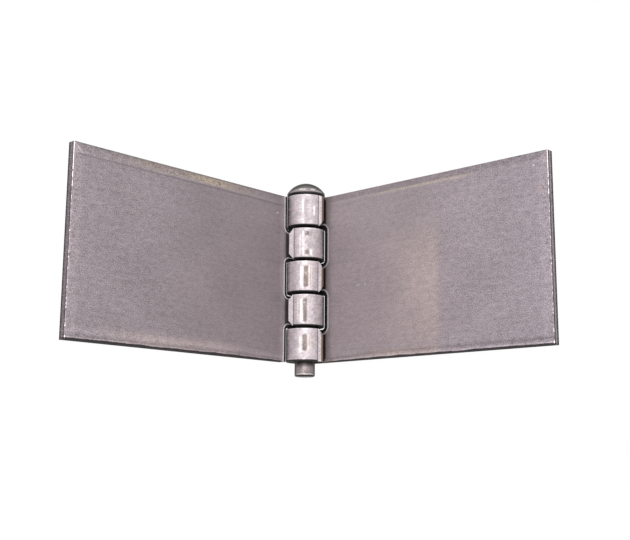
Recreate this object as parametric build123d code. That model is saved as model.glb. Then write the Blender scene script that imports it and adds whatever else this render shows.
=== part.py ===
# Weld-on coach hinge: two steel plate leaves with rolled knuckles, and a loose pin with a domed head.
# The origin is on the pin's axis, level with the leaves' bottom edge. +Z runs up the pin, and -Y is
# the side on which the knuckles stand proud of the leaves. Lengths are in millimetres.
import os
from math import cos, radians, sin, sqrt

from build123d import *

# Leaves
leaf_height = 100.0
leaf_reach = 160.0       # from the pin's axis to a leaf's outer edge
plate = 5.0
rest_opening = 92.0      # angle between the leaves on the knuckle side, in degrees

# Shallow margin along a leaf's three free edges, on its front
margin_width = 6.0
margin_depth = 0.35

# Knuckles
knuckle_count = 5
knuckle_gap = 1.8        # axial play between neighbouring knuckles
roll_angle = 264.0       # bend from the leaf's back face round to the crease, in degrees
tip_gap = 1.6            # between a knuckle's unbent tip and the front of its own leaf
tip_shoulder = 0.6       # from the crease to where the tip's corners are cut off, at 45 degrees
tip_rounding = 2.0       # sheared edge of the tip, rolled over on its outer side
notch_clearance = 0.3    # between a knuckle and the other leaf's notch
notch_corner = 2.0
notch_break = 0.2        # broken front edge of the notches
rim_break = 0.5          # broken outer rims of the knuckles

# Pin
pin_diameter = 12.0
pin_clearance = 0.3      # radial play of the pin in the knuckles
head_diameter = 22.8
head_rim = 2.0
head_rounding = 0.8
dome_height = 6.5
tail_length = 8.5        # how far the pin stands out below the last knuckle
tail_rounding = 1.0

# What follows from the sizes above
pin_radius = pin_diameter / 2
bore_radius = pin_radius + pin_clearance
knuckle_radius = bore_radius + plate
pitch = leaf_height / knuckle_count
crease = radians(roll_angle - 180)     # from the front of the barrel round towards the leaf
tip_length = (bore_radius * (1 + cos(crease)) - tip_gap) / sin(crease)
front_face = bore_radius               # the leaf's front is tangent to the bore, its back to the barrel
notch_edge = sqrt((knuckle_radius + notch_clearance) ** 2 - front_face**2)
past = 2 * knuckle_radius              # how far a cutting tool reaches past what it cuts


def on_tip(distance, depth):
    """Point of the unbent tip in the section: distance past the crease, depth below its outer face."""
    radius = knuckle_radius - depth
    return (
        radius * sin(crease) + distance * cos(crease),
        -radius * cos(crease) + distance * sin(crease),
    )


def leaf_section():
    """A leaf seen along the pin: flat plate, then the roll round the pin, then the unbent tip."""
    roll_out = CenterArc((0, 0), knuckle_radius, 90, roll_angle)
    roll_in = CenterArc((0, 0), bore_radius, 90, roll_angle)
    tip = Polyline(roll_out @ 1, on_tip(tip_length, 0), on_tip(tip_length, plate), roll_in @ 1)
    flat = Polyline(
        roll_in @ 0, (leaf_reach, front_face), (leaf_reach, front_face + plate), roll_out @ 0
    )
    return make_face([roll_out, tip, roll_in, flat])


def knuckle_ends(knuckle):
    """Lower and upper end of a knuckle. The outermost two are flush with the leaves."""
    low = 0 if knuckle == 0 else knuckle * pitch + knuckle_gap / 2
    high = leaf_height if knuckle == knuckle_count - 1 else (knuckle + 1) * pitch - knuckle_gap / 2
    return low, high


def notch(knuckle):
    """What one leaf leaves free for the other leaf's knuckle: a bite out of the plate, and the whole roll."""
    low, high = knuckle_ends(knuckle)
    low -= past if knuckle == 0 else knuckle_gap
    high += past if knuckle == knuckle_count - 1 else knuckle_gap
    bite = Pos(notch_edge - past, 0, (low + high) / 2) * Box(2 * past, 2 * past, high - low)
    roll = Pos(0, front_face - past, (low + high) / 2) * Box(2 * past, 2 * past, high - low)
    return bite + roll


def notch_corners(knuckle):
    """Metal left in the inner corners of a notch. It covers the broken edge beside it."""
    low, high = knuckle_ends(knuckle)
    fills = []
    for level, inward in ((low - knuckle_gap, 1), (high + knuckle_gap, -1)):
        if 0 < level < leaf_height:
            height = notch_corner + notch_break
            middle = level + inward * (notch_corner - notch_break) / 2
            centre = (notch_edge - notch_corner, front_face + plate / 2, level + inward * notch_corner)
            block = Pos(notch_edge - notch_corner / 2, front_face + plate / 2, middle) * Box(
                notch_corner, plate, height)
            fills.append(block - Pos(*centre) * Rot(X=90) * Cylinder(notch_corner, 2 * plate))
    return fills


def tip_clips(knuckle):
    """Prisms that cut the tip's corners off beside the notches, at 45 degrees. They stay clear of the leaf."""
    beyond = tip_gap / 2
    start, stop = tip_shoulder, tip_length + beyond
    # Drawn just above the tip's outer face: X runs to the tip's end, Y runs up the pin
    tip_plane = Plane(
        origin=(*on_tip(0, -beyond), 0),
        x_dir=(cos(crease), sin(crease), 0),
        z_dir=(sin(crease), -cos(crease), 0),
    )
    cuts = []
    low, high = knuckle_ends(knuckle)
    for end, inward in ((low, 1), (high, -1)):
        if 0 < end < leaf_height:
            outline = Polyline(
                (start, end),
                (stop, end + inward * (stop - start)),
                (stop, end - inward * beyond),
                (start, end - inward * beyond),
                close=True,
            )
            cuts.append(extrude(tip_plane * make_face(outline), -(plate + 2 * beyond)))
    return cuts


def margin_wedge(edge):
    """Outline that slopes the front face down to a free edge at the given distance."""
    return Polyline(
        (front_face, edge - margin_width),
        (front_face + 2 * margin_depth, edge + margin_width),
        (front_face - plate, edge + margin_width),
        (front_face - plate, edge - margin_width),
        close=True,
    )


def margin_cuts():
    """Three wedges along the free edges. Where two meet, at a corner, they leave a mitre."""
    length = leaf_reach + margin_width - notch_edge
    top = extrude(Plane((notch_edge, 0, 0), x_dir=(0, 1, 0), z_dir=(1, 0, 0)) * make_face(
        margin_wedge(leaf_height)), length)
    bottom = mirror(top, about=Plane((0, 0, leaf_height / 2)))
    outer = extrude(Plane((0, 0, -margin_width), x_dir=(0, 1, 0), z_dir=(0, 0, -1)) * make_face(
        margin_wedge(leaf_reach)), -(leaf_height + 2 * margin_width))
    return [top, bottom, outer]


def on_line(edges, x, y):
    """Those straight edges along Z that stand at the given place in the section."""
    upright = edges.filter_by(Axis.Z)
    return [edge for edge in upright if abs(edge.center().X - x) + abs(edge.center().Y - y) < 0.01]


def leaf(first_knuckle):
    """The leaf that lies along +X and owns every second knuckle from the given one up."""
    own = range(first_knuckle, knuckle_count, 2)
    others = [knuckle for knuckle in range(knuckle_count) if knuckle not in own]
    blank = extrude(leaf_section(), leaf_height)
    blank -= [notch(knuckle) for knuckle in others]
    blank = fillet(on_line(blank.edges(), *on_tip(tip_length, 0)), tip_rounding)
    rims = [
        edge
        for edge in blank.edges().filter_by(GeomType.CIRCLE)
        if abs(edge.radius - knuckle_radius) < 0.01
    ]
    blank = chamfer(rims, rim_break)
    blank += [fill for knuckle in others for fill in notch_corners(knuckle)]
    blank = chamfer(on_line(blank.edges(), notch_edge, front_face), notch_break)
    blank -= [cut for knuckle in own for cut in tip_clips(knuckle)]
    return blank - margin_cuts()


def pin():
    """Round bar with a domed head that seats on the top knuckle."""
    head_radius = head_diameter / 2
    rim_top = leaf_height + head_rim
    dome_radius = (head_radius**2 + dome_height**2) / (2 * dome_height)
    apex = (0, rim_top + dome_height)
    dome = RadiusArc((head_radius, rim_top), apex, -dome_radius)
    sides = Polyline(
        apex,
        (0, -tail_length),
        (pin_radius, -tail_length),
        (pin_radius, leaf_height),
        (head_radius, leaf_height),
        (head_radius, rim_top),
    )
    bar = revolve(Plane.XZ * make_face([sides, dome]), Axis.Z)
    bar = fillet(bar.edges().filter_by(GeomType.CIRCLE).sort_by(Axis.Z)[0], tail_rounding)
    rim = [edge for edge in bar.edges().filter_by(GeomType.CIRCLE) if abs(edge.radius - head_radius) < 1e-6]
    return fillet(rim, head_rounding)


def build():
    swing = (180 - rest_opening) / 2
    frame_leaf = leaf(0).rotate(Axis.Z, -swing)
    door_leaf = mirror(leaf(1), about=Plane.YZ).rotate(Axis.Z, swing)
    return {"frame_leaf": frame_leaf, "door_leaf": door_leaf, "hinge_pin": pin()}


os.makedirs("parts", exist_ok=True)
for name, solid in build().items():
    export_step(solid, f"parts/{name}.step")
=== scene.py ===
import math

import bpy
import numpy as np
from mathutils import Matrix, Vector


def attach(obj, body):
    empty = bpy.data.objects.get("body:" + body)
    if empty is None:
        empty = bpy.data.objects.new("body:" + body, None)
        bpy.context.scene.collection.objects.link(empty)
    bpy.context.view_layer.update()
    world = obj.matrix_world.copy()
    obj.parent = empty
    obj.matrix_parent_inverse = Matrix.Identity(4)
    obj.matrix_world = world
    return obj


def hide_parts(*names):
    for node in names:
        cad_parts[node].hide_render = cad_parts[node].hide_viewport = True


# A coach hinge in bare rolled steel: two leaves with rolled knuckles and a loose pin.
# Sizes in the dictionaries are in millimetres and angles in degrees.
mm = 0.001
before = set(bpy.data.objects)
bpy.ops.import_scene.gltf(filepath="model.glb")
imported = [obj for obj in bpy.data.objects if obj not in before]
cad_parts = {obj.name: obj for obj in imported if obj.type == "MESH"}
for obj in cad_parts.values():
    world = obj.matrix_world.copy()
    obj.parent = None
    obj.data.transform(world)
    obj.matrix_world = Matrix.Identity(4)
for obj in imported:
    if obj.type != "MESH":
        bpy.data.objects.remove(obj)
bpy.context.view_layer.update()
print("frame loaded")


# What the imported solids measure

def cadPoints(node):
    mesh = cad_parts[node].data
    points = np.zeros(len(mesh.vertices) * 3)
    mesh.vertices.foreach_get("co", points)
    return points.reshape(-1, 3) / mm


def measureLeaf(points):
    # The bore is the nearest metal to the axis. The barrel's far side has nothing but the roll,
    # and the furthest corner is the back of the outer edge, which lies on the barrel's tangent.
    away = np.hypot(points[:, 0], points[:, 1])
    bore = away.min()
    barrel = away[points[:, 0] < -1].max()
    corner = points[away.argmax()]
    reach = math.sqrt(away.max() ** 2 - barrel**2)
    swing = math.atan2(barrel, reach) - math.atan2(corner[1], corner[0])
    return {"bore": bore, "barrel": barrel, "plate": barrel - bore, "reach": reach,
            "swing": swing, "height": points[:, 2].max()}


def measurePin(points, leafHeight):
    away = np.hypot(points[:, 0], points[:, 1])
    return {"radius": away[points[:, 2] < leafHeight - 1].max(), "headRadius": away.max(),
            "seat": leafHeight, "top": points[:, 2].max(), "bottom": points[:, 2].min()}


leafSize = measureLeaf(cadPoints("frame_leaf"))
pinSize = measurePin(cadPoints("hinge_pin"), leafSize["height"])
print("leaf", {name: round(float(value), 3) for name, value in leafSize.items()})
print("pin", {name: round(float(value), 3) for name, value in pinSize.items()})


# Camera, at the photograph's angle

camera = {"place": (-18.67, -601.75, -57.26), "yaw": 2.32, "pitch": 10.61, "roll": 0.35,
          "lens": 58.34, "sensor": 36.0}


def placeCamera(values):
    yaw, pitch, roll = (math.radians(values[name]) for name in ("yaw", "pitch", "roll"))
    ahead = Vector((math.sin(yaw) * math.cos(pitch), math.cos(yaw) * math.cos(pitch), math.sin(pitch)))
    right = Vector((math.cos(yaw), -math.sin(yaw), 0))
    up = right.cross(ahead)
    across = math.cos(roll) * right + math.sin(roll) * up
    upward = math.cos(roll) * up - math.sin(roll) * right
    data = bpy.data.cameras.new("photoCamera")
    data.lens = values["lens"]
    data.sensor_width = values["sensor"]
    data.clip_start = 0.01
    holder = bpy.data.objects.new("photoCamera", data)
    turn = Matrix((across, upward, -ahead)).transposed().to_4x4()
    holder.matrix_world = Matrix.Translation(Vector(values["place"]) * mm) @ turn
    bpy.context.scene.collection.objects.link(holder)
    bpy.context.scene.camera = holder


placeCamera(camera)
bpy.context.scene.view_settings.view_transform = "Standard"


# Helpers for meshes and nodes

def makeMesh(name, points, faces, attributes):
    mesh = bpy.data.meshes.new(name)
    mesh.from_pydata((points * mm).tolist(), [], faces)
    for title, values in attributes.items():
        kind = "FLOAT_VECTOR" if np.ndim(values) == 2 else "FLOAT"
        layer = mesh.attributes.new(title, kind, "POINT")
        layer.data.foreach_set("vector" if kind == "FLOAT_VECTOR" else "value",
                               np.asarray(values, np.float32).ravel())
    mesh.shade_smooth()
    mesh.update()
    piece = bpy.data.objects.new(name, mesh)
    bpy.context.scene.collection.objects.link(piece)
    return piece


def ripple(position, seed, longest, shortest, count=7):
    # A seeded sum of sine waves between two wavelengths, about -1 to 1
    draw = np.random.default_rng(seed)
    lengths = np.geomspace(longest, shortest, count)
    phases = draw.uniform(0, 2 * np.pi, count)
    strengths = draw.uniform(0.5, 1.0, count) * (lengths / longest) ** 0.35
    total = sum(s * np.sin(2 * np.pi * position / length + phase)
                for s, length, phase in zip(strengths, lengths, phases))
    return total / strengths.sum()


def smooth(value, low, high):
    share = np.clip((value - low) / (high - low), 0, 1)
    return share * share * (3 - 2 * share)


def quarter(radius, count=6):
    # Distances from an edge at which a rounding of that radius has its rows
    return radius * (1 - np.cos(np.linspace(0, np.pi / 2, count + 1)))


def roundedBy(distance, radius):
    # How far a rounded edge lies below the flat face at a distance from the edge
    inside = np.clip(radius - distance, 0, radius)
    return radius - np.sqrt(radius**2 - inside**2)


# Leaves. A leaf is a flat blank with tabs, and the tabs are rolled into knuckles. A point of the
# blank has a distance along it from the outer edge, a height, and a depth through the plate.

leafShape = {
    "knuckles": 5,
    "gap": 1.2,              # between neighbouring knuckles, narrower than in the solids
    "rollAngle": 264.0,
    "tipGap": 1.6,           # from the unbent tip to the leaf's own front
    "tipShoulder": 0.6,      # from the crease to the clipped corners of the tip
    "tipRounding": 2.0,
    "creaseWidth": 0.3,
    "creaseDepth": 0.09,
    "notchClearance": 0.3,   # to the other leaf's knuckle; with less they would cut in when folded back
    "notchCorner": 1.8,
    "cutRounding": 0.5,      # outer rims of the knuckles
    "notchRounding": 0.06,   # front edge of the notches
    "breakOut": 0.6,         # how much further the notches reach at the back, which is a guess
    "boreRounding": 0.15,
    "freeRounding": 0.22,    # sheared outer edges
    "marginWidth": 6.0,
    "marginDepth": 0.35,
    "burrPlace": 0.12,       # from the free edge to the top of its burr
    "burrHeight": 0.14,
    "tornRelief": 0.05,      # unevenness of the sheared walls
    "rowStep": 1.25,
    "columnStep": 3.2,
    "rollStep": 4.0,
    "wallRows": 5,
}


def blankSizes(size, shape):
    middle = size["bore"] + size["plate"] / 2
    turn = math.radians(shape["rollAngle"])
    crease = turn - math.pi
    tip = (size["bore"] * (1 + math.cos(crease)) - shape["tipGap"]) / math.sin(crease)
    notchX = math.sqrt((size["barrel"] + shape["notchClearance"]) ** 2 - size["bore"] ** 2)
    rollEnd = size["reach"] + middle * turn
    return {"middle": middle, "turn": turn, "notch": size["reach"] - notchX,
            "rollEnd": rollEnd, "end": rollEnd + tip, "tip": tip, "clip": tip - shape["tipShoulder"]}


def blankRows(size, shape, blank, first):
    # Heights of the rows, and for each row whether it is in a tab
    pitch = size["height"] / shape["knuckles"]
    half = shape["gap"] / 2
    heights, tabs = [], []
    low = 0.0
    for knuckle in range(shape["knuckles"]):
        own = knuckle % 2 == first
        last = knuckle == shape["knuckles"] - 1
        high = size["height"] if last else (knuckle + 1) * pitch + (-half if own else half)
        ends = []
        for atLeafEnd in (knuckle == 0, last):
            if own or atLeafEnd:
                ends.append([*quarter(shape["cutRounding"]), 1.0, 2.0, 3.0, 4.0, blank["clip"]])
            else:
                ends.append([*quarter(shape["notchCorner"], 8), 3.9, blank["clip"]])
        inner = np.arange(low + blank["clip"], high - blank["clip"], shape["rowStep"])
        inner = np.linspace(inner[0], high - blank["clip"], len(inner) + 1)[1:-1]
        rows = [*(low + np.array(ends[0])), *inner, *(high - np.array(ends[1][::-1]))]
        if knuckle:
            rows = rows[1:]
            tabs[-1] = tabs[-1] or own
        heights += rows
        tabs += [own] * len(rows)
        low = high
    return np.array(heights), np.array(tabs)


def blankGrid(size, shape, blank, heights, tabs, first):
    # Distance along the blank of every row and column, and the column of the notch edge
    free = quarter(shape["freeRounding"], 5)
    margin = [0.5, 1.0, 1.8, 2.6, 3.4, 4.2, 5.0, 5.6, shape["marginWidth"], shape["marginWidth"] + 0.6]
    near = blank["notch"] - 6
    plain = np.linspace(margin[-1], near, int((near - margin[-1]) / shape["columnStep"]) + 1)[1:]
    beside = blank["notch"] - np.array([5.0, 4.0, 3.0, 2.2, 1.5, 1.0])
    edge = blank["notch"] - quarter(shape["cutRounding"])[::-1]
    plate = np.array([*free, *margin, *plain, *beside, *edge])

    corner = shape["notchCorner"]
    straight = np.linspace(blank["notch"] + corner, size["reach"], 6)[1:]
    turns = int(shape["rollAngle"] / shape["rollStep"])
    roll = np.linspace(size["reach"], blank["rollEnd"], turns + 1)[1:]
    roll = np.array([*roll[:-1], *(blank["rollEnd"] - np.array([0.6, 0.45, 0.3, 0.15, 0.0]))])
    tipRows = quarter(shape["tipRounding"], 7)[::-1]
    tipStart = blank["rollEnd"] + np.array([0.15, 0.3, 0.45, 0.6, 1.2, 1.8, 2.5])
    tip = np.array([*tipStart, *(blank["end"] - tipRows)])
    tab = np.array([*straight, *roll, *tip])

    pitch = size["height"] / shape["knuckles"]
    half = shape["gap"] / 2
    flanks = np.array([(k + 1) * pitch + (-half if k % 2 == first else half)
                       for k in range(shape["knuckles"] - 1)])
    toFlank = np.abs(heights[:, None] - flanks[None, :]).min(1)
    bulge = np.where(tabs, corner, roundedBy(toFlank, corner))
    weight = smooth(plate, near, blank["notch"] - shape["cutRounding"])
    alongPlate = plate[None, :] + bulge[:, None] * weight[None, :]
    clip = np.clip(blank["clip"] - toFlank, 0, None)
    past = np.clip(tab - blank["rollEnd"], 0, None)
    alongTab = tab[None, :] - clip[:, None] * past[None, :] / blank["tip"]
    return np.concatenate([alongPlate, alongTab], 1), len(plate) - 1


def outlineOf(tabs, notchColumn, columns):
    # The blank's outline as rows and columns of the grid, anticlockwise from the outer edge's foot
    rows = len(tabs)
    last = [columns - 1 if tab else notchColumn for tab in tabs]
    path = [(0, c) for c in range(last[0] + 1)]
    for r in range(1, rows):
        if last[r] < last[r - 1]:
            path += [(r - 1, c) for c in range(last[r - 1] - 1, last[r] - 1, -1)]
            path.append((r, last[r]))
        elif last[r] > last[r - 1]:
            path += [(r, c) for c in range(last[r - 1], last[r] + 1)]
        else:
            path.append((r, last[r]))
    path += [(rows - 1, c) for c in range(last[-1] - 1, -1, -1)]
    path += [(r, 0) for r in range(rows - 2, 0, -1)]
    return np.array(path)


def distanceTo(points, starts, ends):
    # Distance from every point to the nearest of some straight pieces
    nearest = np.full(len(points), 1e9)
    for start in range(0, len(points), 4000):
        block = points[start:start + 4000, None, :]
        run = (ends - starts)[None, :, :]
        share = ((block - starts[None]) * run).sum(2) / np.maximum((run**2).sum(2), 1e-12)
        foot = starts[None] + np.clip(share, 0, 1)[:, :, None] * run
        nearest[start:start + 4000] = np.sqrt(((block - foot) ** 2).sum(2)).min(1)
    return nearest


def bend(along, depth, size, blank):
    # Flat up to the axis, then a turn about the axis, then straight again. Depth 0 is mid plate.
    turned = np.clip((along - size["reach"]) / blank["middle"], 0, blank["turn"])
    before = np.clip(size["reach"] - along, 0, None)
    after = np.clip(along - blank["rollEnd"], 0, None)
    radius = blank["middle"] + depth
    x = before - radius * np.sin(turned) - after * np.cos(turned)
    y = radius * np.cos(turned) - after * np.sin(turned)
    return x, y


def makeLeaf(name, size, shape, first, side, seed):
    blank = blankSizes(size, shape)
    heights, tabs = blankRows(size, shape, blank, first)
    along, notchColumn = blankGrid(size, shape, blank, heights, tabs, first)
    rows, columns = along.shape
    high = np.repeat(heights[:, None], columns, 1)
    exists = tabs[:, None] | (np.arange(columns) <= notchColumn)[None, :]

    loop = outlineOf(tabs, notchColumn, columns)
    corners = np.stack([along[loop[:, 0], loop[:, 1]], high[loop[:, 0], loop[:, 1]]], 1)
    following = np.roll(corners, -1, 0)
    middles = (corners + following) / 2
    atEnd = middles[:, 0] > blank["end"] - 0.01
    isFree = middles[:, 0] < blank["notch"] - 1e-3
    isCut = ~atEnd & ~isFree
    flat = np.stack([along[exists], high[exists]], 1)
    toFree = distanceTo(flat, corners[isFree], following[isFree])
    toCut = distanceTo(flat, corners[isCut], following[isCut])

    half = size["plate"] / 2
    s, z = flat[:, 0], flat[:, 1]
    toEnd = blank["end"] - s
    rolling = smooth(s, blank["notch"] + shape["notchCorner"], size["reach"])
    frontCut = shape["notchRounding"] * (1 - rolling) + shape["boreRounding"] * rolling
    backCut = shape["notchRounding"] * (1 - rolling) + shape["cutRounding"] * rolling
    backDrop = np.maximum.reduce([
        roundedBy(toFree, shape["freeRounding"]),
        roundedBy(toCut, backCut),
        roundedBy(toEnd, shape["tipRounding"])])
    frontDrop = np.maximum.reduce([
        roundedBy(toFree, shape["freeRounding"]),
        roundedBy(toCut, frontCut),
        roundedBy(toEnd, shape["boreRounding"])])
    toRim = np.minimum.reduce([s, z, size["height"] - z])
    nearNotch = smooth(s, blank["notch"] - 5, blank["notch"])
    margin = np.clip(1 - toRim / shape["marginWidth"], 0, 1) * (1 - nearNotch)
    ridge = np.exp(-((toFree - shape["burrPlace"]) / shape["burrPlace"]) ** 2)
    burr = ridge * np.clip(ripple(s + z, seed, 9, 0.9) + 0.2, 0, 1) * shape["burrHeight"]
    front = -half + frontDrop + shape["marginDepth"] * margin - burr
    crease = shape["creaseDepth"] * np.exp(-((s - blank["rollEnd"]) / shape["creaseWidth"]) ** 2)
    back = half - backDrop - crease
    breakOut = shape["breakOut"] * (1 - smooth(toCut, 0, 6)) * (1 - rolling)

    number = np.full((rows, columns), -1)
    number[exists] = np.arange(exists.sum())
    count = int(exists.sum())

    quads = exists[:-1, :-1] & exists[1:, :-1] & exists[:-1, 1:] & exists[1:, 1:]
    a, b = number[:-1, :-1][quads], number[:-1, 1:][quads]
    c, d = number[1:, 1:][quads], number[1:, :-1][quads]
    backFaces = np.stack([a, b, c, d], 1) + count
    frontFaces = np.stack([d, c, b, a], 1)

    # The cut wall round the outline, with rows of its own between the two faces
    rim = number[loop[:, 0], loop[:, 1]]
    levels = np.linspace(0, 1, shape["wallRows"] + 2)[1:-1]
    wallDepth = front[rim][None, :] * (1 - levels[:, None]) + back[rim][None, :] * levels[:, None]
    run = following - np.roll(corners, 1, 0)
    runLength = np.maximum(np.hypot(run[:, 0], run[:, 1]), 1e-9)
    inward = np.stack([-run[:, 1], run[:, 0]], 1) / runLength[:, None]
    sheared = (corners[:, 0] < blank["notch"] - 2).astype(float)
    torn = np.array([ripple(corners[:, 0] + corners[:, 1], seed + 3 + k, 6, 0.8)
                     for k in range(len(levels))])
    relief = sheared[None, :] * (shape["tornRelief"] + shape["tornRelief"] * torn)
    wallS = corners[None, :, 0] + relief * inward[None, :, 0] - levels[:, None] * breakOut[rim][None, :]
    wallZ = corners[None, :, 1] + relief * inward[None, :, 1]
    ring = len(loop)
    wallNumber = 2 * count + np.arange(len(levels) * ring).reshape(len(levels), ring)
    strips = np.concatenate([rim[None, :], wallNumber, rim[None, :] + count], 0)
    ahead = np.roll(strips, -1, 1)
    wallFaces = np.stack([strips[:-1], ahead[:-1], ahead[1:], strips[1:]], 2).reshape(-1, 4)

    allS = np.concatenate([s, s - breakOut, wallS.ravel()])
    allZ = np.concatenate([z, z, wallZ.ravel()])
    allT = np.concatenate([front, back, wallDepth.ravel()])
    x, y = bend(allS, allT, size, blank)
    angle = -size["swing"]
    turnedX = x * math.cos(angle) - y * math.sin(angle)
    turnedY = x * math.sin(angle) + y * math.cos(angle)
    points = np.stack([side * turnedX, turnedY, allZ], 1)
    faces = np.concatenate([frontFaces, backFaces, wallFaces])
    if side < 0:
        faces = faces[:, ::-1]

    facing = (following[:, 0] - corners[:, 0]) / np.maximum(np.hypot(*(following - corners).T), 1e-9)
    toLow = distanceTo(flat, corners[facing > 0.6], following[facing > 0.6])
    toHigh = distanceTo(flat, corners[facing < -0.6], following[facing < -0.6])
    wall = np.zeros(len(allS))
    wall[2 * count:] = 1
    wall[rim] = 1
    wall[rim + count] = 1
    none = np.zeros(len(levels) * ring)
    attributes = {
        "blank": np.stack([allS, allZ, allT], 1),
        "rims": np.stack([np.concatenate([gap, gap, none]) for gap in (toLow, toHigh, toCut)], 1),
        "places": np.stack([np.degrees((allS - size["reach"]) / blank["middle"]), allS - blank["rollEnd"],
                            blank["notch"] - allS], 1),
        "wall": wall,
        "front": np.concatenate([np.ones(count), np.zeros(count), 1 - np.repeat(levels, ring)]),
    }
    return makeMesh(name, points, faces.tolist(), attributes)


frameLeaf = makeLeaf("frameLeaf", leafSize, leafShape, 0, 1, 11)
doorLeaf = makeLeaf("doorLeaf", leafSize, leafShape, 1, -1, 23)
for piece, node, body in ((frameLeaf, "frame_leaf", "frame_side"), (doorLeaf, "door_leaf", "door_side")):
    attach(piece, body)
    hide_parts(node)
print("leaves made:", len(frameLeaf.data.polygons), len(doorLeaf.data.polygons), "faces")


# Pin: a profile turned about the axis

pinShape = {
    "headRim": 2.0,
    "headRounding": 0.8,
    "tailRounding": 1.0,
    "turns": 96,
}


def pinProfile(size, shape):
    # Radius and height from the foot's centre to the top of the dome
    tail = shape["tailRounding"]
    sweep = np.linspace(0, np.pi / 2, 8)
    foot = [(r, size["bottom"]) for r in np.linspace(0, size["radius"] - tail, 6)[:-1]]
    foot += list(zip(size["radius"] - tail + tail * np.sin(sweep),
                     size["bottom"] + tail - tail * np.cos(sweep)))
    shank = [(size["radius"], h) for h in np.linspace(size["bottom"] + tail, size["seat"], 60)[1:]]
    low = size["headRadius"] - shape["headRounding"]
    under = [(r, size["seat"]) for r in np.linspace(size["radius"], low, 5)[1:]]
    lip = list(zip(low + shape["headRounding"] * np.sin(sweep),
                   size["seat"] + shape["headRounding"] * (1 - np.cos(sweep))))[1:]
    rimTop = size["seat"] + shape["headRim"]
    rise = size["top"] - rimTop
    dome = (size["headRadius"] ** 2 + rise**2) / (2 * rise)
    widest = math.asin(min(1, size["headRadius"] / dome))
    tilt = np.linspace(widest, 0, 26)
    cap = list(zip(dome * np.sin(tilt), size["top"] - dome + dome * np.cos(tilt)))
    return np.array(foot + shank + under + lip + cap)


def makePin(name, size, shape):
    profile = pinProfile(size, shape)
    around = np.arange(shape["turns"]) * 2 * np.pi / shape["turns"]
    body = profile[1:-1]
    x = body[:, 0, None] * np.cos(around)
    y = body[:, 0, None] * np.sin(around)
    z = np.repeat(body[:, 1, None], shape["turns"], 1)
    points = np.stack([x.ravel(), y.ravel(), z.ravel()], 1)
    points = np.concatenate([points, [[0, 0, profile[0, 1]], [0, 0, profile[-1, 1]]]])
    number = np.arange(len(body) * shape["turns"]).reshape(len(body), shape["turns"])
    ahead = np.roll(number, -1, 1)
    faces = np.stack([number[:-1], ahead[:-1], ahead[1:], number[1:]], 2).reshape(-1, 4).tolist()
    foot, top = len(points) - 2, len(points) - 1
    faces += [[foot, b, a] for a, b in zip(number[0], ahead[0])]
    faces += [[top, a, b] for a, b in zip(number[-1], ahead[-1])]
    return makeMesh(name, points, faces, {})


hingePin = makePin("hingePin", pinSize, pinShape)
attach(hingePin, "pin")
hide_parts("hinge_pin")
print("pin made:", len(hingePin.data.polygons), "faces")


# Node helpers: each adds one node and gives back its main output

def link(tree, value, socket):
    if isinstance(value, bpy.types.NodeSocket):
        tree.links.new(value, socket)
    elif isinstance(value, (tuple, list)) and socket.type == "RGBA":
        socket.default_value = (*value, 1)
    else:
        socket.default_value = value


def addNode(tree, kind, inputs=None, **settings):
    made = tree.nodes.new("ShaderNode" + kind)
    for name, value in settings.items():
        setattr(made, name, value)
    for name, value in (inputs or {}).items():
        link(tree, value, made.inputs[name])
    return made


def calc(tree, what, first, second=0.0):
    return addNode(tree, "Math", {0: first, 1: second}, operation=what).outputs[0]


def product(tree, first, *others):
    for other in others:
        first = calc(tree, "MULTIPLY", first, other)
    return first


def ramp(tree, value, low, high, start=0.0, stop=1.0):
    return addNode(tree, "MapRange", {"Value": value, "From Min": low, "From Max": high, "To Min": start,
                                      "To Max": stop}, interpolation_type="SMOOTHSTEP").outputs["Result"]


def band(tree, value, low, high, soft):
    rise = ramp(tree, value, low - soft, low + soft)
    return product(tree, rise, ramp(tree, value, high - soft, high + soft, 1.0, 0.0))


def levels(tree, value, points):
    # A brightness from 0 to 2 that follows straight lines between the given places
    reach = points[-1][0]
    made = addNode(tree, "ValToRGB", {"Fac": calc(tree, "DIVIDE", value, reach)})
    marks = made.color_ramp.elements
    while len(marks) < len(points):
        marks.new(0.5)
    for mark, (place, level) in zip(marks, points):
        mark.position = place / reach
        mark.color = (level / 2, level / 2, level / 2, 1)
    return calc(tree, "MULTIPLY", made.outputs["Color"], 2.0)


def tint(tree, share, under, over, mode="MIX"):
    made = addNode(tree, "Mix", data_type="RGBA", blend_type=mode)
    for socket, value in ((made.inputs[0], share), (made.inputs[6], under), (made.inputs[7], over)):
        link(tree, value, socket)
    return made.outputs[2]


def blend(tree, share, under, over):
    made = addNode(tree, "Mix", data_type="FLOAT")
    for socket, value in ((made.inputs[0], share), (made.inputs[2], under), (made.inputs[3], over)):
        link(tree, value, socket)
    return made.outputs[0]


def speckle(tree, vector, size, detail=3.0, stretch=(1, 1, 1)):
    # Noise with features about so many millimetres wide, about 0.5
    spread = addNode(tree, "Mapping", {"Vector": vector, "Scale": [1 / (size * part) for part in stretch]})
    return addNode(tree, "TexNoise", {"Vector": spread.outputs[0], "Scale": 1.0, "Detail": detail}).outputs[0]


def startGroup(name, inputs, outputs):
    group = bpy.data.node_groups.new(name, "ShaderNodeTree")
    for title, kind in inputs.items():
        group.interface.new_socket(name=title, in_out="INPUT", socket_type="NodeSocket" + kind)
    for title, kind in outputs.items():
        group.interface.new_socket(name=title, in_out="OUTPUT", socket_type="NodeSocket" + kind)
    source = group.nodes.new("NodeGroupInput").outputs
    target = group.nodes.new("NodeGroupOutput").inputs
    return group, source, target


def useGroup(tree, group, inputs):
    made = tree.nodes.new("ShaderNodeGroup")
    made.node_tree = group
    for name, value in inputs.items():
        link(tree, value, made.inputs[name])
    return made.outputs


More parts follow.
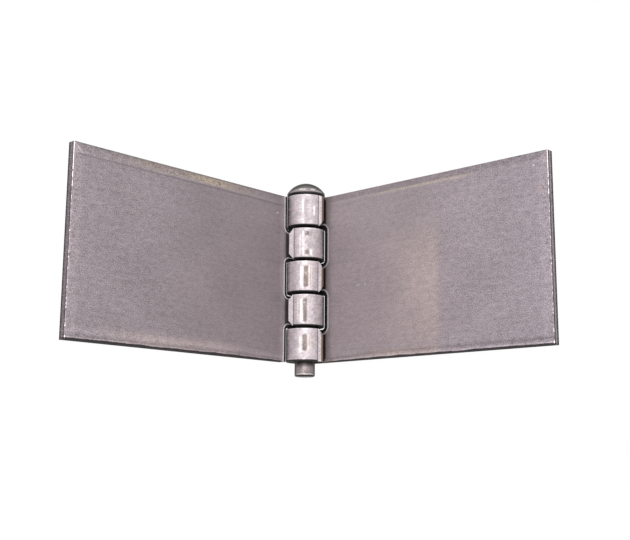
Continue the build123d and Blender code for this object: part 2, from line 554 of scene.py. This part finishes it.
def startMaterial(name):
    material = bpy.data.materials.new(name)
    material.use_nodes = True
    tree = material.node_tree
    return material, tree, tree.nodes["Principled BSDF"]


def makeGrainGroup():
    # Fine pitted grain of rolled steel, with broad clouds in it. Vector is in millimetres.
    group, given, gives = startGroup("rolledGrain", {"Vector": "Vector", "Depth": "Float"},
                                     {"Fine": "Float", "Cloud": "Float", "Height": "Float"})
    fine = speckle(group, given["Vector"], 0.62, 2.0)
    middling = speckle(group, given["Vector"], 2.4, 3.0, (1.5, 1, 1))
    cloud = speckle(group, given["Vector"], 26.0, 3.0, (1.4, 1, 1))
    both = calc(group, "ADD", product(group, fine, 0.75), product(group, middling, 0.25))
    group.links.new(both, gives["Fine"])
    group.links.new(cloud, gives["Cloud"])
    group.links.new(product(group, both, given["Depth"]), gives["Height"])
    return group


def makeRimHighlightGroup():
    # A painted highlight along an edge, broken up by noise. Distance and Reach are in millimetres.
    group, given, gives = startGroup("rimHighlight", {"Distance": "Float", "Reach": "Float", "Vector": "Vector",
                                                  "Broken": "Float"}, {"Mask": "Float"})
    near = calc(group, "DIVIDE", given["Distance"], given["Reach"])
    ragged = product(group, calc(group, "SUBTRACT", speckle(group, given["Vector"], 1.6, 3.0), 0.5), 2.0)
    pushed = calc(group, "ADD", near, product(group, ragged, given["Broken"]))
    group.links.new(ramp(group, pushed, 0.6, 1.2, 1.0, 0.0), gives["Mask"])
    return group


def makeMarkGroup():
    # A mark with soft sides, between two places across and two places up, in the units of Across and Up
    group, given, gives = startGroup("mark", {name: "Float" for name in (
        "Across", "Up", "Left", "Right", "Low", "High", "SoftLeft", "SoftRight", "SoftUp")}, {"Mask": "Float"})
    masks = []
    for way, edge, soft, start, stop in (("Across", "Left", "SoftLeft", 0.0, 1.0),
                                         ("Across", "Right", "SoftRight", 1.0, 0.0),
                                         ("Up", "Low", "SoftUp", 0.0, 1.0),
                                         ("Up", "High", "SoftUp", 1.0, 0.0)):
        past = calc(group, "DIVIDE", calc(group, "SUBTRACT", given[way], given[edge]), given[soft])
        masks.append(ramp(group, past, -1.0, 1.0, start, stop))
    group.links.new(product(group, *masks), gives["Mask"])
    return group


grainGroup = makeGrainGroup()
rimHighlightGroup = makeRimHighlightGroup()
markGroup = makeMarkGroup()


# What both steels share

steel = {"edgeTint": (0.6, 0.57, 0.58, 1), "relief": 0.6, "reliefDistance": 0.001}


def finishSteel(tree, shader, metallic, raised):
    shader.inputs["Metallic"].default_value = metallic
    shader.inputs["Specular Tint"].default_value = steel["edgeTint"]
    bump = addNode(tree, "Bump", {"Height": raised, "Strength": steel["relief"],
                                  "Distance": steel["reliefDistance"]})
    link(tree, bump.outputs[0], shader.inputs["Normal"])


# Leaf steel. Colours are linear. Places on a leaf are distances in millimetres from the notch edge
# and heights; places on a knuckle are degrees along its roll and heights.

leafLook = {
    "plateRoughness": 0.5,
    "knuckleRoughness": 0.46,
    "metallic": 0.4,
    "grainDepth": 0.012,
    "knuckle": (0.54, 0.475, 0.495),
    "knuckleBack": (0.30, 0.265, 0.28),
    # black painted shade for gaps, undersides and the far sides of the knuckles
    "paintedShade": (0.022, 0.018, 0.018),
    "cut": (0.125, 0.10, 0.11),
    "cutBright": (0.55, 0.51, 0.53),
    # bright and notchLine are painted highlights and glints
    "bright": (0.95, 0.89, 0.92),
    "notchLine": (0.75, 0.69, 0.71),
    "creaseShade": (0.12, 0.10, 0.105),
    "burnishedReflection": (0.15, 0.122, 0.104),
    "dull": (0.37, 0.325, 0.34),
    "strip": (0.80, 0.735, 0.765),
    "warmReflection": (0.85, 0.70, 0.58),
    "warm": (0.43, 0.345, 0.325),
    "brown": (0.34, 0.28, 0.25),
    "tan": (0.44, 0.365, 0.29),
    "rust": (0.48, 0.33, 0.29),
    "pit": (0.09, 0.065, 0.06),
}

# Painted light and shade on each plate over the distance from its lower, upper and outer edge
frameLook = dict(leafLook, near=(0.32, 0.27, 0.285), far=(0.298, 0.256, 0.280), beside=0.75, tipBright=2.5,
                 tipEndShade=(0.26, 0.175, 0.13), grainStrength=2.8, mitre=0.15, gapShade=0.95,
                 ridge=0.6, stripWidth=2.1, stripEnds=3.0, lineWidth=0.9)
frameLook["lowEdge"] = [(0, 0.10), (0.8, 0.11), (1.05, 1.35), (1.35, 1.35), (1.8, 1.08), (2.3, 0.93), (2.9, 0.80),
                        (3.4, 0.72), (3.9, 0.80), (4.5, 0.90), (5.1, 1), (10, 1)]
frameLook["highEdge"] = [(0, 0.80), (0.5, 0.81), (3.0, 0.81), (3.6, 0.87), (4.2, 1.05), (4.6, 1.08), (5.2, 1.03),
                         (6.2, 1.01), (6.7, 0.95), (7.3, 1), (10, 1)]
frameLook["outEdge"] = [(0, 1.07), (1.5, 1.04), (5.0, 1.03), (6.2, 0.98), (7.0, 1), (10, 1)]

doorLook = dict(leafLook, near=(0.26, 0.22, 0.235), far=(0.28, 0.24, 0.257), beside=1.7, tipBright=3.5,
                tipEndShade=(0.05, 0.04, 0.038), grainStrength=2.8, mitre=0.35, gapShade=0.8,
                ridge=0.15, stripWidth=1.4, stripEnds=-2.0, lineWidth=0.6)
doorLook["lowEdge"] = [(0, 0.10), (1.05, 0.11), (1.25, 1.30), (1.5, 1.25), (1.9, 0.90), (2.4, 0.85), (2.9, 0.95),
                       (3.5, 1.10), (4.3, 1.19), (5.5, 1.16), (7.0, 1.05), (8.0, 1), (10, 1)]
doorLook["highEdge"] = [(0, 0.72), (0.6, 0.76), (1.3, 0.89), (2.8, 0.98), (4.4, 1.08), (4.9, 1.12), (5.4, 1.09),
                        (5.8, 0.75), (6.3, 0.75), (6.7, 0.99), (10, 1)]
doorLook["outEdge"] = [(0, 1.22), (1.0, 1.18), (1.6, 1.07), (4.8, 1.05), (5.6, 1.01), (6.2, 0.98), (7.0, 1),
                       (10, 1)]

# Marks on the plate and on the knuckles: across from and to, height from and to, softness, colour, strength
frameMarks = {
    "plate": [
        # a painted warm reflection
        ((55, 81.5), (8, 70), (25.0, 2.5), 12, "warm", 0.62),
        ((30, 82), (1.2, 4.5), (8.0, 3.0), 1.2, "warm", 0.7),
        ((40, 104), (94.6, 96.2), (14.0, 8.0), 0.5, "tan", 0.5),
    ],
    "specks": [
        ((141.7, 142.7), (92.6, 93.3), 0.4, 0.3, "bright", 0.6),
        ((143.4, 145.8), (79.0, 81.0), 1.2, 1.0, "rust", 0.5),
        ((76.5, 79.0), (8.2, 9.8), 1.0, 0.8, "rust", 0.5),
        ((28.0, 29.5), (51.0, 53.2), 0.6, 0.8, "tan", 0.5),
        ((25.4, 26.4), (43.0, 43.8), 0.4, 0.3, "notchLine", 0.5),
        ((30.5, 31.5), (43.0, 43.8), 0.4, 0.3, "notchLine", 0.5),
    ],
    "pits": [],
    # burnished patches painted with the dark reflection they show, and painted highlight and warm reflection
    # streaks
    "knuckle": [
        ((217, 230), (43.4, 56.2), 2.4, 0.7, "burnishedReflection", 0.9),
        ((215, 228), (5.8, 15.2), 2.4, 0.7, "burnishedReflection", 0.9),
        ((206, 213), (44, 56), 2.0, 1.5, "bright", 0.8),
        ((204, 211), (5, 14), 2.0, 1.5, "bright", 0.7),
        ((232, 235), (44, 57), 1.0, 1.5, "warmReflection", 0.8),
        ((239, 242.5), (46, 56), 1.0, 1.5, "warmReflection", 0.6),
        ((231, 234), (6, 15), 1.0, 1.0, "warmReflection", 0.7),
        ((238, 241), (7, 14), 1.0, 1.0, "warmReflection", 0.6),
        ((217, 233), (82, 98), 5.0, 2.0, "dull", 0.75),
        ((211, 215.5), (88, 96), 1.5, 1.5, "bright", 0.85),
        ((246, 251), (87, 92.5), 1.5, 1.0, "bright", 0.9),
    ],
}
doorMarks = {
    "plate": [
        ((32, 116), (95.4, 99.6), 18.0, 1.0, "brown", 0.7),
        ((46, 72), (95.6, 99.2), 9.0, 0.8, "tan", 0.9),
        ((40, 120), (1, 7), 20.0, 3, "warm", 0.4),
    ],
    "specks": [
        ((7.5, 8.4), (88.4, 89.1), 0.4, 0.3, "bright", 0.8),
    ],
    "pits": [
        ((26, 104), (95.6, 99.4), 10.0, 0.8, "pit", 0.8),
    ],
    # burnished patches painted with the dark reflection they show, and painted highlight and warm reflection
    # streaks
    "knuckle": [
        ((208, 230), (61.5, 78), 5.0, 2.0, "dull", 0.85),
        ((221, 232), (22.7, 36.5), 2.4, 0.7, "burnishedReflection", 0.9),
        ((216, 228), (74.5, 76.9), 1.5, 0.4, "burnishedReflection", 0.8),
        ((215.5, 227.5), (63, 65.4), 1.5, 0.4, "burnishedReflection", 0.8),
        ((235, 241), (23, 36), 1.5, 1.5, "bright", 0.9),
        ((247, 250), (24, 36), 1.5, 1.5, "warmReflection", 0.5),
        ((231, 236), (74, 77), 1.5, 0.8, "bright", 0.9),
        ((231, 235), (62.5, 67), 1.5, 0.8, "bright", 0.8),
        ((206, 213), (62.5, 66), 2.0, 0.8, "bright", 0.8),
        ((240, 245), (64, 75), 2.0, 2.0, "bright", 0.4),
    ],
}


def attributeParts(tree, name):
    found = addNode(tree, "Attribute", attribute_name=name)
    parts = addNode(tree, "SeparateXYZ", {"Vector": found.outputs["Vector"]})
    return found.outputs["Vector"], parts.outputs[0], parts.outputs[1], parts.outputs[2]


def putMarks(tree, look, marks, across, height, place, colour, grain, holes):
    ragged = ramp(tree, speckle(tree, place, grain, 4.0), *holes)
    for (left, right), (low, high), soft, softUp, name, strength in marks:
        softLeft, softRight = soft if isinstance(soft, tuple) else (soft, soft)
        mask = useGroup(tree, markGroup, {
            "Across": across, "Up": height, "Left": left, "Right": right, "Low": low, "High": high,
            "SoftLeft": softLeft, "SoftRight": softRight, "SoftUp": softUp})["Mask"]
        colour = tint(tree, product(tree, mask, ragged, strength), colour, look[name])
    return colour


def leafMaterial(name, look, size, marks):
    material, tree, shader = startMaterial(name)
    place, along, height, depth = attributeParts(tree, "blank")
    _, toLow, toHigh, toCut = attributeParts(tree, "rims")
    _, turned, past, fromNotch = attributeParts(tree, "places")
    wall = addNode(tree, "Attribute", attribute_name="wall").outputs["Fac"]
    front = addNode(tree, "Attribute", attribute_name="front").outputs["Fac"]
    grain = useGroup(tree, grainGroup, {"Vector": place, "Depth": look["grainDepth"]})

    # Plate: its tone changes towards the outer edge, where the grain is coarser
    far = ramp(tree, fromNotch, 15.0, size["reach"] * 0.9)
    colour = tint(tree, far, look["near"], look["far"])
    colour = putMarks(tree, look, marks["plate"], fromNotch, height, place, colour, 9.0, (0.15, 0.50))
    colour = putMarks(tree, look, marks["specks"], fromNotch, height, place, colour, 0.9, (0.30, 0.45))
    colour = putMarks(tree, look, marks["pits"], fromNotch, height, place, colour, 0.9, (0.57, 0.65))
    clouded = ramp(tree, grain["Cloud"], 0.25, 0.75, 0.93, 1.06)
    spotted = product(tree, calc(tree, "SUBTRACT", grain["Fine"], 0.5),
                      ramp(tree, far, 0.0, 1.0, look["grainStrength"] * 0.6, look["grainStrength"]))
    drawn = product(tree, calc(tree, "SUBTRACT", speckle(tree, place, 1.3, 2.0, (30, 1, 1)), 0.5), 0.18)
    plateLevel = product(tree, clouded, calc(tree, "ADD", calc(tree, "ADD", spotted, drawn), 1.0))

    # Painted light and shade in bands along the free edges, black under the lower edge
    wobble = calc(tree, "SUBTRACT", speckle(tree, place, 7.0, 3.0, (1.5, 1, 1)), 0.5)
    lowPlace = product(tree, calc(tree, "ADD", height, wobble), ramp(tree, fromNotch, 4.0, 40.0, 1.7, 1.0))
    lowBand = levels(tree, lowPlace, look["lowEdge"])
    fromTop = calc(tree, "SUBTRACT", size["height"], height)
    highBand = levels(tree, calc(tree, "ADD", fromTop, wobble), look["highEdge"])
    outBand = levels(tree, along, look["outEdge"])
    bands = product(tree, lowBand, highBand, outBand)
    onPlate = ramp(tree, fromNotch, 0.5, 5.0)
    # Next to the knuckles the plate level is painted shade on the frame leaf and painted light on the door leaf
    plateLevel = product(tree, plateLevel, blend(tree, product(tree, onPlate, front), 1.0, bands),
                         ramp(tree, fromNotch, 1.0, 7.0, look["beside"], 1.0))

    # A painted highlight line where the margins meet at the corners
    mitre = product(tree, band(tree, calc(tree, "SUBTRACT", along, fromTop), -0.4, 0.4, 0.5),
                    ramp(tree, along, 4.5, 6.5, 1.0, 0.0), front, look["mitre"])
    colour = tint(tree, mitre, colour, look["notchLine"])
    # Painted highlight dashes along the burred outer front edge
    patchy = calc(tree, "ADD", speckle(tree, place, 1.9, 3.0), ramp(tree, height, 76.0, 92.0, 0.0, 0.3))
    offWall = calc(tree, "SUBTRACT", 1.0, wall)
    burr = product(tree, ramp(tree, patchy, 0.51, 0.62), ramp(tree, along, 0.22, 0.45, 1.0, 0.0),
                   front, offWall, 0.85)

    # Knuckles: their colour with painted reflection marks in front, a painted shade where they turn away beside
    # the other leaf's notch, and darker behind
    knuckle = ramp(tree, fromNotch, -4.0, -12.0)
    crumbs = ramp(tree, speckle(tree, place, 0.9, 2.0), 0.3, 0.7, 0.86, 1.12)
    mottled = product(tree, ramp(tree, speckle(tree, place, 2.6, 4.0, (1, 1.5, 1)), 0.3, 0.7, 0.84, 1.08), crumbs)
    torn = product(tree, calc(tree, "SUBTRACT", speckle(tree, place, 2.0, 3.0, (3, 0.5, 1)), 0.5), 26.0)
    knuckleAndReflections = putMarks(tree, look, marks["knuckle"], turned, height, place, look["knuckle"], 1.6, (0.2, 0.4))
    early = calc(tree, "ADD", torn, ramp(tree, height, 50.0, 75.0, 6.0, 0.0))
    rolled = tint(tree, ramp(tree, calc(tree, "ADD", turned, early), 147.0, 184.0), look["paintedShade"], knuckleAndReflections)
    rolled = tint(tree, ramp(tree, turned, 84.0, 112.0), look["knuckleBack"], rolled)
    colour = tint(tree, knuckle, colour, rolled)
    level = blend(tree, knuckle, plateLevel, mottled)

    # Tip: a painted shade in the crease, a painted highlight on the strip and its clipped corners, a painted shade
    # on the rounded end (brownish on the frame leaf), and a painted shadow on the plate in the gap under the tip
    ownRows = ramp(tree, calc(tree, "SUBTRACT", toCut, fromNotch), 0.8, 2.0)
    onFlat = ramp(tree, turned, 0.0, -6.0, 0.0, 1.0)
    underTip = product(tree, ownRows, ramp(tree, fromNotch, 0.4, 1.5, 1.0, 0.0), onFlat, front, look["gapShade"])
    colour = tint(tree, underTip, colour, look["paintedShade"])
    colour = tint(tree, ramp(tree, past, 0.0, 0.5), colour, look["strip"])
    colour = tint(tree, ramp(tree, past, look["tipBright"] - 0.2, look["tipBright"] + 0.4), colour, look["tipEndShade"])
    tipRim = product(tree, ramp(tree, toCut, 0.35, 0.8, 1.0, 0.0), ramp(tree, past, 0.2, 0.5),
                     ramp(tree, past, look["tipBright"] + 0.4, look["tipBright"], 0.0, 1.0))
    colour = tint(tree, tipRim, colour, look["bright"])
    colour = tint(tree, band(tree, past, -0.2, 0.2, 0.2), colour, look["creaseShade"])

    # Rims of the knuckles: a painted highlight on the upper side, painted shade underneath and under the head
    beforeTip = ramp(tree, past, 0.5, 0.2, 0.0, 1.0)
    onRoll = product(tree, ramp(tree, turned, 100.0, 165.0), beforeTip)
    upperRim = useGroup(tree, rimHighlightGroup, {"Distance": toHigh, "Reach": 0.9, "Vector": place,
                                          "Broken": 0.25})["Mask"]
    colour = tint(tree, product(tree, upperRim, onRoll, 0.4), colour, look["bright"])
    rimShade = calc(tree, "MAXIMUM", ramp(tree, toLow, 0.7, 1.0, 1.0, 0.0),
                     ramp(tree, toHigh, 0.3, 0.5, 1.0, 0.0))
    lowerRim = product(tree, rimShade, ramp(tree, turned, 0.0, 20.0), beforeTip)
    underHead = ramp(tree, height, size["height"] - 0.7, size["height"] - 0.4)
    rims = calc(tree, "MAXIMUM", lowerRim, product(tree, underHead, knuckle))
    colour = tint(tree, rims, colour, look["paintedShade"])

    # Notch: a painted shade strip where the gap beside the other leaf's knuckle shows dark, and a thin painted
    # highlight line along it
    besideNotch = product(tree, ramp(tree, fromNotch, 5.2, 4.2, 0.0, 1.0), onFlat, front)
    ends = look["stripEnds"]
    besideNotch = product(tree, besideNotch, ramp(tree, fromTop, ends, ends + 0.8),
                          ramp(tree, height, ends, ends + 0.8))
    width = look["stripWidth"]
    strip = product(tree, ramp(tree, toCut, width - 0.1, width + 0.2, 1.0, 0.0), besideNotch)
    line = product(tree, band(tree, toCut, width + 0.2, width + 0.2 + look["lineWidth"], 0.25), besideNotch)
    colour = tint(tree, product(tree, line, 0.85), colour, look["notchLine"])
    colour = tint(tree, strip, colour, look["paintedShade"])

    # Cut faces: dark and torn, with bright lines across the plate
    tornBright = ramp(tree, speckle(tree, place, 0.55, 3.0, (1, 0.8, 5.0)), 0.48, 0.76)
    cut = tint(tree, product(tree, tornBright, 0.5), look["cut"], look["cutBright"])
    ragged = product(tree, calc(tree, "SUBTRACT", speckle(tree, place, 1.8, 3.0), 0.5), 1.2)
    ridge = product(tree, band(tree, calc(tree, "ADD", depth, ragged), -0.3, 0.3, 0.3), look["ridge"])
    cut = tint(tree, ridge, cut, look["cutBright"])
    # Painted shade on the cut faces: towards both plate faces, inside the notches and along the bottom
    sides = ramp(tree, calc(tree, "ADD", calc(tree, "ABSOLUTE", depth), ragged), 1.3, 1.7)
    cut = tint(tree, sides, cut, look["paintedShade"])
    inside = ramp(tree, fromNotch, 3.0, 1.0, 0.0, 1.0)
    underside = product(tree, ramp(tree, height, 0.5, 0.2, 0.0, 1.0), ramp(tree, along, 1.0, 2.0))
    cut = tint(tree, calc(tree, "MAXIMUM", inside, underside), cut, look["paintedShade"])
    colour = tint(tree, wall, colour, cut)
    colour = tint(tree, burr, colour, look["bright"])
    link(tree, tint(tree, 1.0, colour, level, "MULTIPLY"), shader.inputs["Base Color"])

    shiny = ramp(tree, mottled, 0.76, 1.16, look["knuckleRoughness"] + 0.10, look["knuckleRoughness"] - 0.06)
    roughness = blend(tree, knuckle, look["plateRoughness"], shiny)
    link(tree, calc(tree, "MAXIMUM", roughness, product(tree, wall, 0.8)), shader.inputs["Roughness"])
    raised = calc(tree, "ADD", grain["Height"], product(tree, tornBright, wall, 0.12))
    finishSteel(tree, shader, look["metallic"], raised)
    return material


frameSteel = leafMaterial("frameLeafSteel", frameLook, leafSize, frameMarks)
doorSteel = leafMaterial("doorLeafSteel", doorLook, leafSize, doorMarks)


# Pin steel: duller, with a greenish scale on the head and mottled on the tail

pinLook = {"metallic": 0.5, "bar": (0.27, 0.23, 0.235), "dark": (0.022, 0.018, 0.018),
           "stainAndShade": (0.16, 0.13, 0.125), "bright": (0.8, 0.74, 0.75), "headTop": (0.205, 0.195, 0.175),
           "headSideReflection": (0.36, 0.31, 0.32)}


def pinMaterial(name, look, size):
    material, tree, shader = startMaterial(name)
    place = addNode(tree, "TexCoord").outputs["Object"]
    scaled = addNode(tree, "VectorMath", {0: place, "Scale": 1 / mm}, operation="SCALE").outputs[0]
    across, deep, height = addNode(tree, "SeparateXYZ", {"Vector": scaled}).outputs
    grain = useGroup(tree, grainGroup, {"Vector": scaled, "Depth": 0.02})

    # Bar: stained, shaded under the last knuckle and painted darker down its sides, with a painted shadow round
    # its foot and a painted highlight line above it
    stains = ramp(tree, speckle(tree, scaled, 3.2, 4.0, (1, 1, 1.7)), 0.42, 0.62)
    bar = tint(tree, product(tree, stains, 0.85), look["bar"], look["stainAndShade"])
    bar = tint(tree, ramp(tree, height, -4.2, -0.4), bar, look["dark"])
    foot = calc(tree, "SUBTRACT", height, size["bottom"])
    bar = tint(tree, product(tree, band(tree, foot, 1.0, 1.5, 0.25), 0.6), bar, look["bright"])
    bar = tint(tree, ramp(tree, foot, 0.75, 1.0, 1.0, 0.0), bar, look["dark"])
    bar = tint(tree, ramp(tree, calc(tree, "ABSOLUTE", across), 3.9, 5.6, 0.0, 0.7), bar, look["stainAndShade"])

    # Head: dull cap over a lighter side that is a painted reflection, with two painted highlight dashes and a
    # painted shadow line at the seat
    above = calc(tree, "SUBTRACT", height, size["seat"])
    head = tint(tree, ramp(tree, above, 3.2, 3.7), look["headSideReflection"], look["headTop"])
    for left, right in ((-4.2, -0.4), (2.4, 5.0)):
        dash = useGroup(tree, markGroup, {"Across": across, "Up": above, "Left": left, "Right": right, "Low": 2.2,
                                          "High": 3.1, "SoftLeft": 0.6, "SoftRight": 0.6, "SoftUp": 0.3})["Mask"]
        head = tint(tree, product(tree, dash, ramp(tree, deep, -1.0, 1.0, 1.0, 0.0)), head, look["bright"])
    head = tint(tree, ramp(tree, above, 1.1, 1.6, 1.0, 0.0), head, look["dark"])
    colour = tint(tree, ramp(tree, above, -0.2, 0.2), bar, head)
    # Painted shade towards the outline, where the surface turns away from the camera
    turning = addNode(tree, "LayerWeight", {"Blend": 0.5}).outputs["Facing"]
    colour = tint(tree, ramp(tree, turning, 0.42, 0.66, 0.0, 0.92), colour, look["dark"])
    level = ramp(tree, grain["Fine"], 0.3, 0.7, 0.80, 1.15)
    link(tree, tint(tree, 1.0, colour, level, "MULTIPLY"), shader.inputs["Base Color"])
    link(tree, ramp(tree, grain["Fine"], 0.3, 0.7, 0.5, 0.36), shader.inputs["Roughness"])
    finishSteel(tree, shader, look["metallic"], grain["Height"])
    return material


pinSteel = pinMaterial("pinSteel", pinLook, pinSize)
for piece, material in ((frameLeaf, frameSteel), (doorLeaf, doorSteel), (hingePin, pinSteel)):
    piece.data.materials.append(material)
print("materials made")


# Floor, background and lights

studio = {"floorDrop": 160.0, "floorSize": 9000.0, "floorColour": (0.86, 0.86, 0.86), "floorGlow": 0.7,
          "around": 0.4}


def makeFloor(values):
    half = values["floorSize"] / 2
    corners = ((-half, -half), (half, -half), (half, half), (-half, half))
    points = np.array([(x, y, -values["floorDrop"]) for x, y in corners])
    floor = makeMesh("floor", points, [[0, 1, 2, 3]], {})
    material, tree, shader = startMaterial("floorPaper")
    shader.inputs["Base Color"].default_value = (*values["floorColour"], 1)
    shader.inputs["Roughness"].default_value = 0.9
    path = addNode(tree, "LightPath").outputs
    seen = calc(tree, "MAXIMUM", path["Is Camera Ray"], path["Is Glossy Ray"])
    shader.inputs["Emission Color"].default_value = (1, 1, 1, 1)
    link(tree, product(tree, seen, values["floorGlow"]), shader.inputs["Emission Strength"])
    floor.data.materials.append(material)


def makeWorld(values):
    world = bpy.data.worlds.new("studio")
    bpy.context.scene.world = world
    world.use_nodes = True
    tree = world.node_tree
    tree.nodes.clear()
    path = addNode(tree, "LightPath").outputs
    seen = calc(tree, "MAXIMUM", path["Is Camera Ray"], path["Is Glossy Ray"])
    seen = calc(tree, "MAXIMUM", seen, path["Is Transmission Ray"])
    plain = addNode(tree, "Background", {"Color": (1, 1, 1), "Strength": values["around"]})
    white = addNode(tree, "Background", {"Color": (1, 1, 1), "Strength": 1.0})
    mix = addNode(tree, "MixShader", {0: seen, 1: plain.outputs[0], 2: white.outputs[0]})
    addNode(tree, "OutputWorld", {"Surface": mix.outputs[0]})


lamps = {
    "front": {"place": (-60, -1100, 240), "size": 700, "power": 7.5},
    "key": {"place": (-800, -800, 300), "size": 800, "power": 2.0},
    "fill": {"place": (800, -800, 300), "size": 800, "power": 2.0},
}


def makeLamp(name, values):
    data = bpy.data.lights.new(name, "AREA")
    data.size = values["size"] * mm
    data.energy = values["power"]
    lamp = bpy.data.objects.new(name, data)
    lamp.location = Vector(values["place"]) * mm
    aim = Vector((0, 0, 50 * mm)) - lamp.location
    lamp.rotation_euler = aim.to_track_quat("-Z", "Y").to_euler()
    bpy.context.scene.collection.objects.link(lamp)


makeFloor(studio)
makeWorld(studio)
for name, values in lamps.items():
    makeLamp(name, values)
print("studio made")
